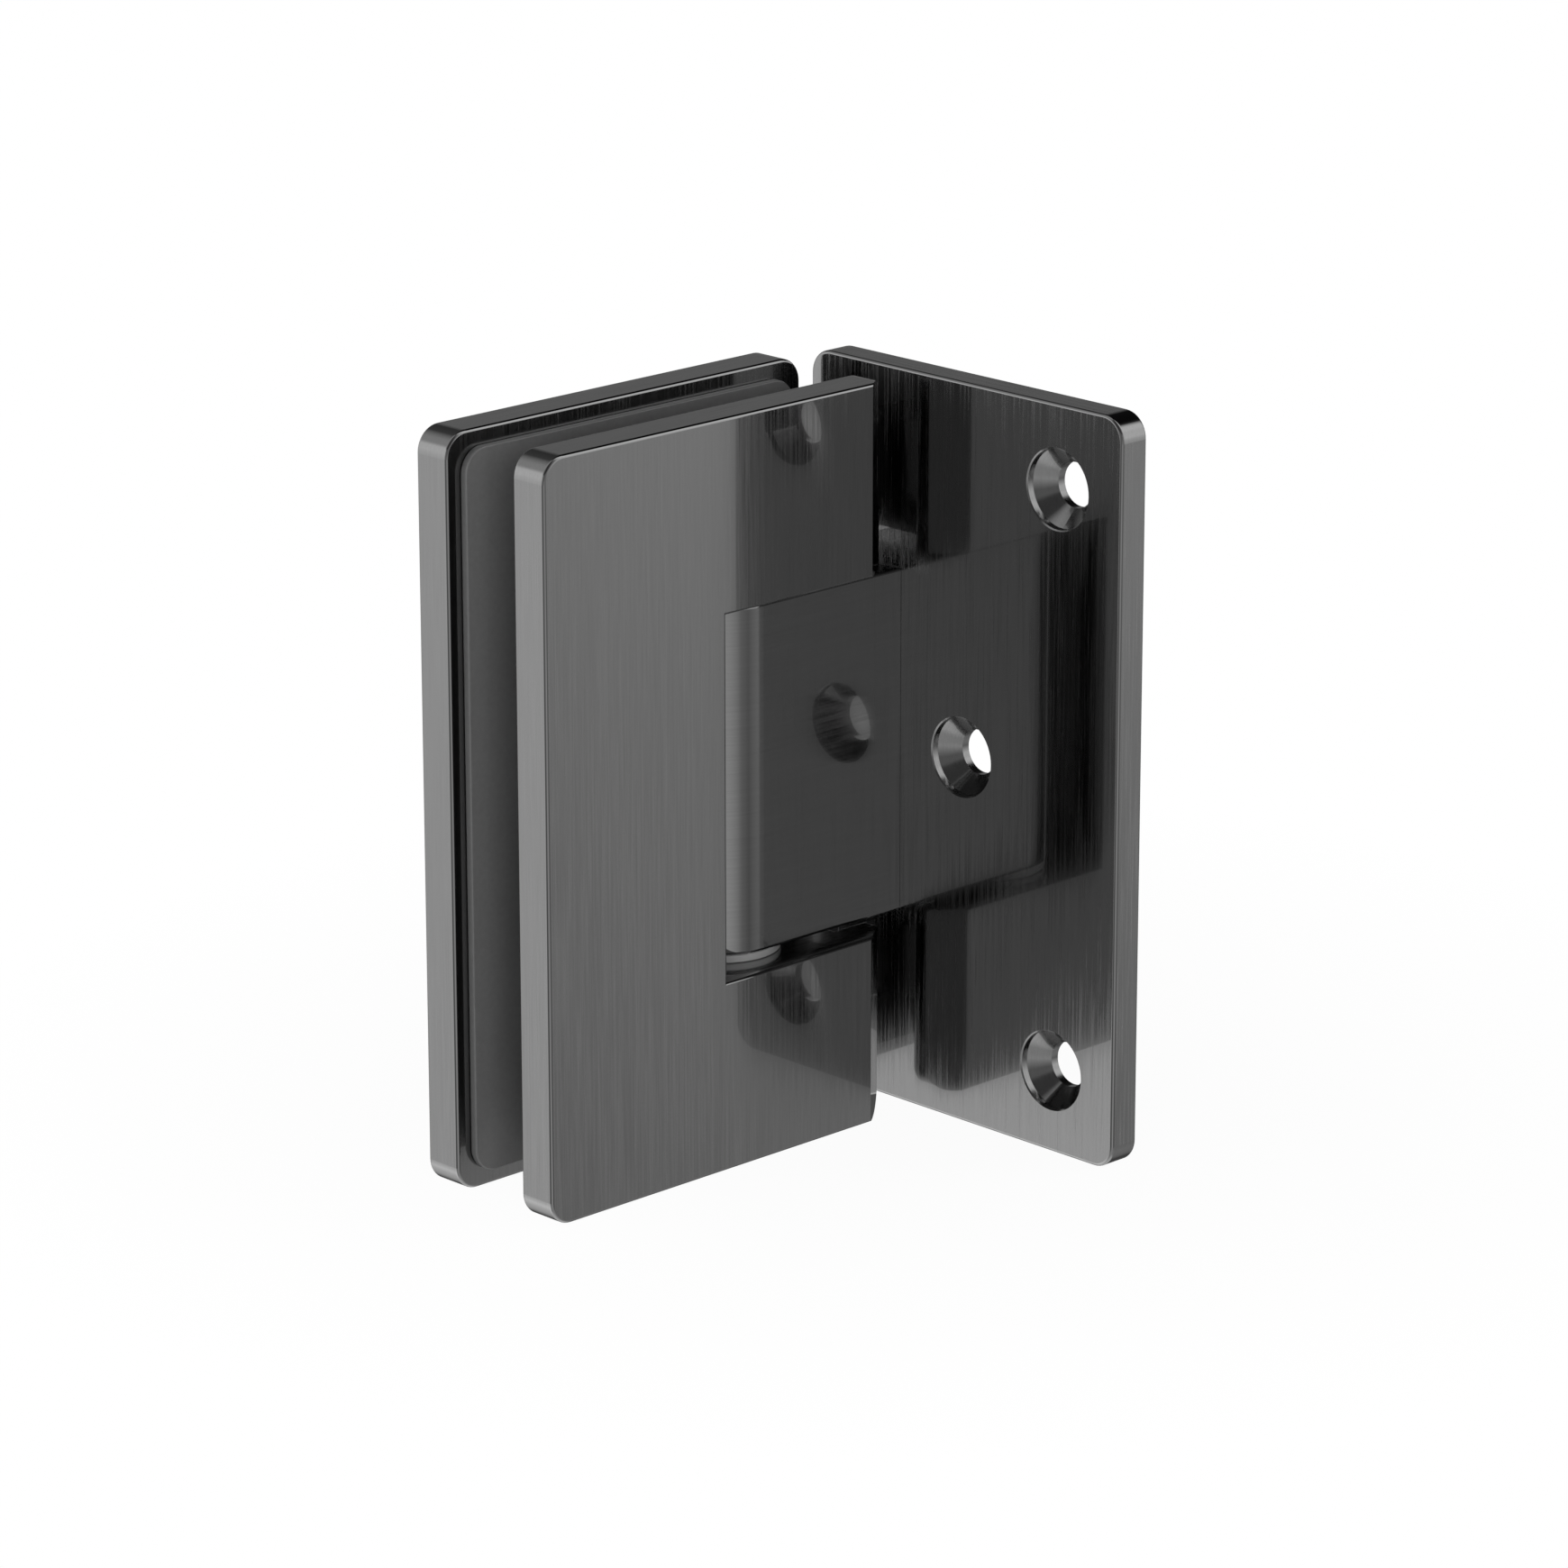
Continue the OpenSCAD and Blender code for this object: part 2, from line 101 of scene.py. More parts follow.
bpy.ops.object.select_all(action="DESELECT")
bpy.ops.mesh.primitive_plane_add(size=floor_size, location=(0, 0, cad_box[0][2] - floor_gap))
floor = bpy.context.object
floor.name = "studio_floor"
floor.visible_glossy = False
floor_paint, tree, shader = new_material("floor_paint")
shader.inputs["Base Color"].default_value = (floor_shade, floor_shade, floor_shade, 1)
shader.inputs["Roughness"].default_value = 0.9
shader.inputs["Specular IOR Level"].default_value = 0.1
path = add_node(tree, "ShaderNodeLightPath")
spot = add_node(tree, "ShaderNodeTexCoord")
away = add_node(tree, "ShaderNodeVectorMath", operation="LENGTH")
whiter = add_node(
    tree, "ShaderNodeMapRange", From_Min=shadow_reach[0], From_Max=shadow_reach[1], To_Min=white_share,
)
seen = add_node(tree, "ShaderNodeMath", operation="MULTIPLY")
white = add_node(tree, "ShaderNodeEmission", Color=(1, 1, 1, 1), Strength=1)
floor_mix = add_node(tree, "ShaderNodeMixShader")
tree.links.new(spot.outputs["Object"], away.inputs[0])
tree.links.new(away.outputs["Value"], whiter.inputs["Value"])
tree.links.new(path.outputs["Is Camera Ray"], seen.inputs[0])
tree.links.new(whiter.outputs["Result"], seen.inputs[1])
tree.links.new(seen.outputs[0], floor_mix.inputs["Fac"])
tree.links.new(shader.outputs["BSDF"], floor_mix.inputs[1])
tree.links.new(white.outputs["Emission"], floor_mix.inputs[2])
tree.links.new(floor_mix.outputs["Shader"], tree.nodes["Material Output"].inputs["Surface"])
floor.data.materials.append(floor_paint)

# The studio's surroundings, as greys by the turn in degrees from +X: pale walls on the camera's
# left and right, dark ones ahead of it, a soft box high on the right and a dark ceiling round it.
# Metal sees them, and the camera itself sees plain white there.
skirting_shades = (
    (-180, 0.18), (-160, 0.28), (-145, 0.54), (-134, 0.8), (-120, 0.84), (-113, 0.76), (-103, 0.58),
    (-94, 0.34), (-80, 0.18), (-72, 0.25), (-58, 0.3), (-46, 0.375), (-20, 0.28), (5, 0.08), (50, 0.08),
    (90, 0.4), (115, 0.8), (131, 0.85), (137, 1.02), (150, 1.0), (162, 0.3), (180, 0.18),
)
eye_level_shades = (
    (-180, 0.4), (-160, 0.35), (-134, 0.25), (-113, 0.4), (-94, 0.45), (-72, 0.8), (-46, 1.32), (-20, 1.0),
    (10, 0.25), (36, 0.135), (50, 0.172), (80, 0.3), (110, 1.0), (134, 1.3), (155, 1.2), (180, 0.4),
)
ceiling_shades = (
    (-180, 0.1), (-134, 0.1), (-100, 0.15), (-72, 0.5), (-46, 1.5), (-30, 1.35), (-20, 0.05), (-12, 0.01),
    (40, 0.01), (52, 0.05), (82, 0.11), (96, 0.35), (112, 0.6), (134, 0.7), (155, 0.55), (180, 0.15),
)
floor_shades = (
    (-180, 0.5), (-134, 0.7), (-100, 0.6), (-46, 0.5), (-10, 0.3), (12, 0.08), (64, 0.08), (88, 0.6),
    (110, 1.0), (134, 1.85), (150, 1.6), (180, 0.5),
)
underfoot_shade = 1.05
full_turn = 360
skirting_to_eye_level = (-0.35, 0.08)
underfoot_to_floor = (-0.92, -0.72)
floor_to_walls = (-0.58, -0.36)
walls_to_ceiling = (0.31, 0.48)
world = bpy.data.worlds.new("studio_surroundings")
bpy.context.scene.world = world
world.use_nodes = True
sky = world.node_tree
sky.nodes.clear()


def grey_ramp(stops, source):
    """A colour ramp of greys from (position, grey) pairs, read along a source socket."""
    ramp = add_node(sky, "ShaderNodeValToRGB")
    steps = ramp.color_ramp.elements
    for step, (position, grey) in zip(steps, (stops[0], stops[-1])):
        step.position = position
        step.color = (grey, grey, grey, 1)
    for position, grey in stops[1:-1]:
        steps.new(position).color = (grey, grey, grey, 1)
    sky.links.new(source, ramp.inputs["Fac"])
    return ramp.outputs["Color"]


def blend_at_height(lower, upper, heights, ease="SMOOTHSTEP"):
    """Two greys, blended from one height of the surroundings to another."""
    mask = add_node(
        sky, "ShaderNodeMapRange", interpolation_type=ease, From_Min=heights[0], From_Max=heights[1],
    )
    mix = add_node(sky, "ShaderNodeMix", data_type="RGBA")
    sky.links.new(sky_split.outputs["Z"], mask.inputs["Value"])
    sky.links.new(mask.outputs["Result"], mix.inputs["Factor"])
    sky.links.new(lower, mix.inputs["A"])
    sky.links.new(upper, mix.inputs["B"])
    return mix.outputs["Result"]


brightest = max(grey for _, grey in floor_shades)
sky_place = add_node(sky, "ShaderNodeTexCoord")
sky_split = add_node(sky, "ShaderNodeSeparateXYZ")
sky_turn = add_node(sky, "ShaderNodeTexGradient", gradient_type="RADIAL")
underfoot = add_node(sky, "ShaderNodeRGB")
underfoot.outputs[0].default_value = (underfoot_shade / brightest,) * 3 + (1,)
sky.links.new(sky_place.outputs["Generated"], sky_split.inputs[0])
sky.links.new(sky_place.outputs["Generated"], sky_turn.inputs["Vector"])
skirting, eye_level, ceiling, below = (
    grey_ramp(
        [(turn / full_turn + 0.5, grey / brightest) for turn, grey in shades], sky_turn.outputs["Fac"],
    )
    for shades in (skirting_shades, eye_level_shades, ceiling_shades, floor_shades)
)
walls = blend_at_height(skirting, eye_level, skirting_to_eye_level, "LINEAR")
below = blend_at_height(underfoot.outputs[0], below, underfoot_to_floor)
walls = blend_at_height(below, walls, floor_to_walls)
walls = blend_at_height(walls, ceiling, walls_to_ceiling)
studio_light = add_node(sky, "ShaderNodeBackground", Strength=brightest)
plain_white = add_node(sky, "ShaderNodeBackground", Color=(1, 1, 1, 1), Strength=1)
sky_path = add_node(sky, "ShaderNodeLightPath")
sky_mix = add_node(sky, "ShaderNodeMixShader")
sky_out = add_node(sky, "ShaderNodeOutputWorld")
sky.links.new(walls, studio_light.inputs["Color"])
sky.links.new(sky_path.outputs["Is Camera Ray"], sky_mix.inputs["Fac"])
sky.links.new(studio_light.outputs["Background"], sky_mix.inputs[1])
sky.links.new(plain_white.outputs["Background"], sky_mix.inputs[2])
sky.links.new(sky_mix.outputs["Shader"], sky_out.inputs["Surface"])

# The lamps: two large soft boxes, a strong one on the glass side and a weak one high in front.
# They light the floor and the gaskets, and stay out of the metal's reflections.
lamps = {
    "lamp_glass_side": ((-0.95, -1.0, 0.15), 1.0, 26),
    "lamp_front": ((0.2, -1.2, 1.3), 1.2, 1),
}
for name, (place, size, watts) in lamps.items():
    lamp = bpy.data.objects.new(name, bpy.data.lights.new(name, "AREA"))
    lamp.data.shape = "SQUARE"
    lamp.data.size = size
    lamp.data.energy = watts
    lamp.location = place
    lamp.rotation_euler = (-Vector(place)).to_track_quat("-Z", "Y").to_euler()
    lamp.visible_glossy = False
    bpy.context.scene.collection.objects.link(lamp)

# The wall plate: stainless steel bar with round corners and softened edges, three holes sunk for
# wall screws. It is brushed upright along its faces, then coated in dark gunmetal.
gunmetal_shade = 0.195
brushing_lines = 5000
brushing_length = 90
edge_roughness = 0.04
coat_roughness = 0.02
coat_ior = 1.7
upright_lay = (0, 0.02, 1)
top_face_limit = 0.72
edge_tilt = (0.999, 0.985)
ring_fineness = 6000
ring_grain = (0.36, 0.64)
hole_middle = (0, 0.0247, 0.0175)
hole_offset = (0, 0.0075, 0.0175)
hole_axis = (1, 0, 0)
hole_mouth_r = 0.00492
hole_slope_limit = 0.99
hole_roughness = (0.12, 0.2)

# Hairlines are noise drawn out along the brushing, laid another way on top faces than on sides.
hairline = bpy.data.node_groups.new("hairline_brushing", "ShaderNodeTree")
for label in ("Place", "Side Scale", "Top Scale"):
    hairline.interface.new_socket(name=label, in_out="INPUT", socket_type="NodeSocketVector")
for label in ("Streaks", "Scratches", "Edges"):
    hairline.interface.new_socket(name=label, in_out="OUTPUT", socket_type="NodeSocketFloat")
hair_in = add_node(hairline, "NodeGroupInput")
hair_out = add_node(hairline, "NodeGroupOutput")
hair_facing = add_node(hairline, "ShaderNodeNewGeometry")
hair_abs = add_node(hairline, "ShaderNodeVectorMath", operation="ABSOLUTE")
hair_parts = add_node(hairline, "ShaderNodeSeparateXYZ")
hairline.links.new(hair_facing.outputs["Normal"], hair_abs.inputs[0])
hairline.links.new(hair_abs.outputs["Vector"], hair_parts.inputs[0])
hair_flat = add_node(hairline, "ShaderNodeMath", operation="GREATER_THAN")
hair_flat.inputs[1].default_value = top_face_limit
hairline.links.new(hair_parts.outputs["Z"], hair_flat.inputs[0])
hair_lay = add_node(hairline, "ShaderNodeMix", data_type="VECTOR")
hairline.links.new(hair_flat.outputs[0], hair_lay.inputs["Factor"])
for label, side in (("Side Scale", "A"), ("Top Scale", "B")):
    hair_scale = add_node(hairline, "ShaderNodeVectorMath", operation="MULTIPLY")
    hairline.links.new(hair_in.outputs["Place"], hair_scale.inputs[0])
    hairline.links.new(hair_in.outputs[label], hair_scale.inputs[1])
    hairline.links.new(hair_scale.outputs[0], hair_lay.inputs[side])
for label, fineness, detail in (("Streaks", 1.0, 4), ("Scratches", 0.8, 3)):
    hair_size = add_node(hairline, "ShaderNodeVectorMath", operation="SCALE", Scale=fineness)
    hair_noise = add_node(hairline, "ShaderNodeTexNoise", Scale=1, Detail=detail, Roughness=0.65)
    hairline.links.new(hair_lay.outputs["Result"], hair_size.inputs[0])
    hairline.links.new(hair_size.outputs[0], hair_noise.inputs["Vector"])
    hairline.links.new(hair_noise.outputs["Fac"], hair_out.inputs[label])
hair_most = add_node(hairline, "ShaderNodeMath", operation="MAXIMUM")
hair_most_z = add_node(hairline, "ShaderNodeMath", operation="MAXIMUM")
hair_edge = add_node(hairline, "ShaderNodeMapRange", From_Min=edge_tilt[0], From_Max=edge_tilt[1])
hairline.links.new(hair_parts.outputs["X"], hair_most.inputs[0])
hairline.links.new(hair_parts.outputs["Y"], hair_most.inputs[1])
hairline.links.new(hair_most.outputs[0], hair_most_z.inputs[0])
hairline.links.new(hair_parts.outputs["Z"], hair_most_z.inputs[1])
hairline.links.new(hair_most_z.outputs[0], hair_edge.inputs["Value"])
hairline.links.new(hair_edge.outputs["Result"], hair_out.inputs["Edges"])

# Turning marks are rings round an axis. The place is folded twice, so that one centre and its
# offset stand for a whole pattern of holes or screws.
turning = bpy.data.node_groups.new("turning_marks", "ShaderNodeTree")
for label in ("Place", "Centre", "Offset", "Axis"):
    turning.interface.new_socket(name=label, in_out="INPUT", socket_type="NodeSocketVector")
for label in ("Rings", "Radius"):
    turning.interface.new_socket(name=label, in_out="OUTPUT", socket_type="NodeSocketFloat")
lathe_in = add_node(turning, "NodeGroupInput")
lathe_out = add_node(turning, "NodeGroupOutput")
lathe_side = add_node(turning, "ShaderNodeVectorMath", operation="ABSOLUTE")
lathe_centre = add_node(turning, "ShaderNodeVectorMath", operation="SUBTRACT")
lathe_again = add_node(turning, "ShaderNodeVectorMath", operation="ABSOLUTE")
lathe_offset = add_node(turning, "ShaderNodeVectorMath", operation="SUBTRACT")
lathe_cross = add_node(turning, "ShaderNodeVectorMath", operation="CROSS_PRODUCT")
lathe_radius = add_node(turning, "ShaderNodeVectorMath", operation="LENGTH")
lathe_along = add_node(turning, "ShaderNodeVectorMath", operation="DOT_PRODUCT")
lathe_rings = add_node(turning, "ShaderNodeCombineXYZ")
lathe_noise = add_node(turning, "ShaderNodeTexNoise", Scale=ring_fineness, Detail=3, Roughness=0.7)
turning.links.new(lathe_in.outputs["Place"], lathe_side.inputs[0])
turning.links.new(lathe_side.outputs[0], lathe_centre.inputs[0])
turning.links.new(lathe_in.outputs["Centre"], lathe_centre.inputs[1])
turning.links.new(lathe_centre.outputs[0], lathe_again.inputs[0])
turning.links.new(lathe_again.outputs[0], lathe_offset.inputs[0])
turning.links.new(lathe_in.outputs["Offset"], lathe_offset.inputs[1])
for measure in (lathe_cross, lathe_along):
    turning.links.new(lathe_offset.outputs[0], measure.inputs[0])
    turning.links.new(lathe_in.outputs["Axis"], measure.inputs[1])
turning.links.new(lathe_cross.outputs["Vector"], lathe_radius.inputs[0])
turning.links.new(lathe_radius.outputs["Value"], lathe_rings.inputs["X"])
turning.links.new(lathe_radius.outputs["Value"], lathe_out.inputs["Radius"])
turning.links.new(lathe_along.outputs["Value"], lathe_rings.inputs["Y"])
turning.links.new(lathe_rings.outputs[0], lathe_noise.inputs["Vector"])
turning.links.new(lathe_noise.outputs["Fac"], lathe_out.inputs["Rings"])


def brushed_metal(
    name, side_scale, top_scale, smooth, dull, lay_axis, turn, smear=0.85, grain=(0.36, 0.64),
):
    """Coated metal whose hairlines and smeared reflections follow the grain, with polished edges."""
    material, tree, shader = new_material(name)
    place = add_node(tree, "ShaderNodeTexCoord")
    brushing = add_node(tree, "ShaderNodeGroup", node_tree=hairline)
    brushing.inputs["Side Scale"].default_value = side_scale
    brushing.inputs["Top Scale"].default_value = top_scale
    tree.links.new(place.outputs["Object"], brushing.inputs["Place"])
    tint = add_node(tree, "ShaderNodeMapRange", From_Min=0.35, From_Max=0.65, To_Min=0.95, To_Max=1.05)
    shade = add_node(tree, "ShaderNodeMix", data_type="RGBA", blend_type="MULTIPLY")
    shade.inputs["Factor"].default_value = 1
    shade.inputs["A"].default_value = (gunmetal_shade, gunmetal_shade, gunmetal_shade, 1)
    tree.links.new(brushing.outputs["Streaks"], tint.inputs["Value"])
    tree.links.new(tint.outputs["Result"], shade.inputs["B"])
    tree.links.new(shade.outputs["Result"], shader.inputs["Base Color"])
    rough = add_node(
        tree, "ShaderNodeMapRange", From_Min=grain[0], From_Max=grain[1], To_Min=smooth, To_Max=dull,
    )
    eased = add_node(tree, "ShaderNodeMix", data_type="FLOAT", B=edge_roughness)
    tree.links.new(brushing.outputs["Scratches"], rough.inputs["Value"])
    tree.links.new(rough.outputs["Result"], eased.inputs["A"])
    tree.links.new(brushing.outputs["Edges"], eased.inputs["Factor"])
    tree.links.new(eased.outputs["Result"], shader.inputs["Roughness"])
    across = add_node(tree, "ShaderNodeVectorMath", operation="CROSS_PRODUCT", name="across")
    across.inputs[1].default_value = lay_axis
    facing = add_node(tree, "ShaderNodeNewGeometry")
    tree.links.new(facing.outputs["Normal"], across.inputs[0])
    tree.links.new(across.outputs["Vector"], shader.inputs["Tangent"])
    shader.inputs["Metallic"].default_value = 1
    shader.inputs["Anisotropic"].default_value = smear
    shader.inputs["Anisotropic Rotation"].default_value = turn
    shader.inputs["Coat Weight"].default_value = 1
    shader.inputs["Coat Roughness"].default_value = coat_roughness
    shader.inputs["Coat IOR"].default_value = coat_ior
    return material


wall_gunmetal = brushed_metal(
    "gunmetal_wall_plate",
    side_scale=(brushing_lines, brushing_lines, brushing_length),
    top_scale=(brushing_lines, brushing_length, brushing_lines),
    smooth=0.1, dull=0.3, lay_axis=upright_lay, turn=0.25, smear=1.0, grain=(0.44, 0.7),
)
tree = wall_gunmetal.node_tree
shader = tree.nodes["Principled BSDF"]
place = add_node(tree, "ShaderNodeTexCoord")
rings = add_node(tree, "ShaderNodeGroup", node_tree=turning)
for label, setting in (("Centre", hole_middle), ("Offset", hole_offset), ("Axis", hole_axis)):
    rings.inputs[label].default_value = setting
facing = add_node(tree, "ShaderNodeNewGeometry")
facing_parts = add_node(tree, "ShaderNodeSeparateXYZ")
facing_wall = add_node(tree, "ShaderNodeMath", operation="ABSOLUTE")
sloping = add_node(tree, "ShaderNodeMath", operation="LESS_THAN")
sloping.inputs[1].default_value = hole_slope_limit
near_hole = add_node(tree, "ShaderNodeMath", operation="LESS_THAN")
near_hole.inputs[1].default_value = hole_mouth_r
in_hole = add_node(tree, "ShaderNodeMath", operation="MULTIPLY")
lay = add_node(tree, "ShaderNodeMix", data_type="VECTOR")
lay.inputs["A"].default_value = upright_lay
lay.inputs["B"].default_value = hole_axis
turned_rough = add_node(
    tree, "ShaderNodeMapRange", From_Min=ring_grain[0], From_Max=ring_grain[1],
    To_Min=hole_roughness[0], To_Max=hole_roughness[1],
)
roughness = add_node(tree, "ShaderNodeMix", data_type="FLOAT")
tree.links.new(place.outputs["Object"], rings.inputs["Place"])
tree.links.new(facing.outputs["Normal"], facing_parts.inputs[0])
tree.links.new(facing_parts.outputs["X"], facing_wall.inputs[0])
tree.links.new(facing_wall.outputs[0], sloping.inputs[0])
tree.links.new(rings.outputs["Radius"], near_hole.inputs[0])
tree.links.new(sloping.outputs[0], in_hole.inputs[0])
tree.links.new(near_hole.outputs[0], in_hole.inputs[1])
tree.links.new(in_hole.outputs[0], lay.inputs["Factor"])
tree.links.new(lay.outputs["Result"], tree.nodes["across"].inputs[1])
tree.links.new(rings.outputs["Rings"], turned_rough.inputs["Value"])
tree.links.new(in_hole.outputs[0], roughness.inputs["Factor"])
tree.links.new(shader.inputs["Roughness"].links[0].from_socket, roughness.inputs["A"])
tree.links.new(turned_rough.outputs["Result"], roughness.inputs["B"])
tree.links.new(roughness.outputs["Result"], shader.inputs["Roughness"])
nodes["wall_plate"].data.materials[0] = wall_gunmetal

# The pivot block: solid bar with a half-round end, standing on the wall plate.
# It is brushed level, round its end, and coated like the plates.
block_gunmetal = brushed_metal(
    "gunmetal_block",
    side_scale=(brushing_length, brushing_length, brushing_lines),
    top_scale=(brushing_length, brushing_lines, brushing_lines),
    smooth=0.13, dull=0.21, lay_axis=upright_lay, turn=0,
)
nodes["pivot_block"].data.materials[0] = block_gunmetal

# The block's two screws: countersunk steel socket screws, turned, darkened and driven in through
# the wall plate's back. Each is modelled standing up, its head's top on Z = 0, and then laid in place.
block_screw_r = 0.0025
block_screw_head_r = 0.0046
block_screw_length = 0.015
block_screw_x = -0.0003
block_screw_z = 0.017
block_screw_axis = (1, 0, 0)
block_screw_places = {
    "block_screw_upper": (block_screw_x, 0, block_screw_z),
    "block_screw_lower": (block_screw_x, 0, -block_screw_z),
}
screw_shade = 0.26
screw_vertices = 64
screw_rim_rounding = 0.00015
screw_point_chamfer = 0.0004
socket_width = 0.003
socket_depth_share = 0.7
socket_mouth_inside = 0.0001
socket_mouth_outside = 0.0003
socket_mouth_depth = 0.0004
socket_drill_share = 0.48
socket_drill_tip_r = 0.00001
socket_drill_height = 0.0005
socket_drill_below = 0.0002
cutter_spare = 0.001
touching = 1e-6
square_on = 0.9


def turned_metal(name, grey, centre, axis, smooth, dull, offset=(0, 0, 0)):
    """Steel with fine rings from the lathe round an axis, mirrored onto both sides of the hinge."""
    material, tree, shader = new_material(name)
    place = add_node(tree, "ShaderNodeTexCoord")
    marks = add_node(tree, "ShaderNodeGroup", node_tree=turning)
    for label, setting in (("Centre", centre), ("Offset", offset), ("Axis", axis)):
        marks.inputs[label].default_value = setting
    tree.links.new(place.outputs["Object"], marks.inputs["Place"])
    tint = add_node(tree, "ShaderNodeMapRange", From_Min=0.3, From_Max=0.7, To_Min=0.94, To_Max=1.06)
    shade = add_node(tree, "ShaderNodeMix", data_type="RGBA", blend_type="MULTIPLY")
    shade.inputs["Factor"].default_value = 1
    shade.inputs["A"].default_value = (grey, grey, grey, 1)
    rough = add_node(
        tree, "ShaderNodeMapRange", From_Min=ring_grain[0], From_Max=ring_grain[1],
        To_Min=smooth, To_Max=dull,
    )
    relief = add_node(tree, "ShaderNodeBump", Strength=0.1, Distance=0.00002)
    tree.links.new(marks.outputs["Rings"], tint.inputs["Value"])
    tree.links.new(tint.outputs["Result"], shade.inputs["B"])
    tree.links.new(shade.outputs["Result"], shader.inputs["Base Color"])
    tree.links.new(marks.outputs["Rings"], rough.inputs["Value"])
    tree.links.new(rough.outputs["Result"], shader.inputs["Roughness"])
    tree.links.new(marks.outputs["Rings"], relief.inputs["Height"])
    tree.links.new(relief.outputs["Normal"], shader.inputs["Normal"])
    shader.inputs["Metallic"].default_value = 1
    return material


def select_parts(piece, kind, test):
    """In edit mode, selects the piece's faces or edges whose middle and direction pass a test."""
    bpy.ops.object.mode_set(mode="EDIT")
    bpy.ops.mesh.select_mode(type=kind)
    bpy.ops.mesh.select_all(action="DESELECT")
    bpy.ops.object.mode_set(mode="OBJECT")
    if kind == "FACE":
        for face in piece.data.polygons:
            face.select = test(face.center, face.normal)
    else:
        for edge in piece.data.edges:
            start, end = (piece.data.vertices[i].co for i in edge.vertices)
            edge.select = test((start + end) / 2, (end - start).normalized())
    bpy.ops.object.mode_set(mode="EDIT")


def cut_away(piece, cutter):
    """Takes the cutter's shape off a piece and throws the cutter away."""
    cut = piece.modifiers.new("cut", "BOOLEAN")
    cut.operation = "DIFFERENCE"
    cut.object = cutter
    bpy.context.view_layer.objects.active = piece
    bpy.ops.object.modifier_apply(modifier="cut")
    bpy.data.objects.remove(cutter)


def socket_screw(name, shank_r, head_r, length, socket):
    """A socket screw along -Z with a rounded rim, a chamfered point and a hexagon socket."""
    cone = head_r - shank_r
    bpy.ops.object.select_all(action="DESELECT")
    bpy.ops.mesh.primitive_cylinder_add(
        vertices=screw_vertices, radius=shank_r, depth=length - cone, location=(0, 0, -(length + cone) / 2),
    )
    screw = bpy.context.object
    screw.name = name
    bpy.ops.object.transform_apply(location=True, rotation=True, scale=True)
    if cone > 0:
        widening = head_r / shank_r
        select_parts(screw, "FACE", lambda middle, normal: normal.z > square_on)
        bpy.ops.mesh.extrude_region_move(TRANSFORM_OT_translate={"value": (0, 0, cone)})
        bpy.ops.transform.resize(value=(widening, widening, 1), center_override=(0, 0, 0))
        bpy.ops.object.mode_set(mode="OBJECT")
    select_parts(screw, "EDGE", lambda middle, along: middle.z > -touching)
    bpy.ops.mesh.bevel(offset=screw_rim_rounding, segments=3)
    bpy.ops.object.mode_set(mode="OBJECT")
    select_parts(screw, "EDGE", lambda middle, along: middle.z < touching - length)
    bpy.ops.mesh.bevel(offset=screw_point_chamfer, segments=1)
    bpy.ops.object.mode_set(mode="OBJECT")
    hexagon_r = socket / 3 ** 0.5
    deep = socket * socket_depth_share
    hexagon = (6, hexagon_r, hexagon_r, deep + cutter_spare, deep / 2 - deep + cutter_spare / 2)
    mouth = (
        screw_vertices, hexagon_r - socket_mouth_inside, hexagon_r + socket_mouth_outside,
        socket_mouth_depth, 0,
    )
    drill_point = (
        screw_vertices, socket_drill_tip_r, socket * socket_drill_share,
        socket_drill_height, -deep - socket_drill_below,
    )
    for sides, low_r, high_r, height, middle in (hexagon, mouth, drill_point):
        bpy.ops.object.select_all(action="DESELECT")
        bpy.ops.mesh.primitive_cone_add(
            vertices=sides, radius1=low_r, radius2=high_r, depth=height, location=(0, 0, middle),
        )
        cut_away(screw, bpy.context.object)
    screw.select_set(True)
    bpy.context.view_layer.objects.active = screw
    bpy.ops.object.shade_smooth_by_angle(angle=radians(30))
    return screw


def placed_copies(model, places, facing):
    """Copies of a screw, each with its own mesh, their heads turned to face a direction."""
    copies = []
    for name, place in places.items():
        copy = model.copy()
        copy.data = model.data.copy()
        copy.name = f"{name}_steel"
        bpy.context.scene.collection.objects.link(copy)
        turn = Vector((0, 0, 1)).rotation_difference(Vector(facing)).to_matrix().to_4x4()
        copy.matrix_world = Matrix.Translation(place) @ turn
        bpy.ops.object.select_all(action="DESELECT")
        copy.select_set(True)
        bpy.context.view_layer.objects.active = copy
        bpy.ops.object.transform_apply(location=True, rotation=True, scale=True)
        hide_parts(name)
        copies.append(copy)
    bpy.data.objects.remove(model)
    return copies


block_screw_steel = turned_metal(
    "block_screw_steel",
    grey=screw_shade, centre=(0, 0, block_screw_z), axis=block_screw_axis, smooth=0.2, dull=0.32,
)
block_screw = socket_screw(
    "block_screw", block_screw_r, block_screw_head_r, block_screw_length, socket_width,
)
block_screw.data.materials.append(block_screw_steel)
for screw in placed_copies(block_screw, block_screw_places, block_screw_axis):
    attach(screw, "wall_side")

# The two bushes: turned from natural white acetal and pressed into the block's ends.
# The pin turns in them.
pin_centre = (0.0265, 0, 0)
pin_axis = (0, 0, 1)


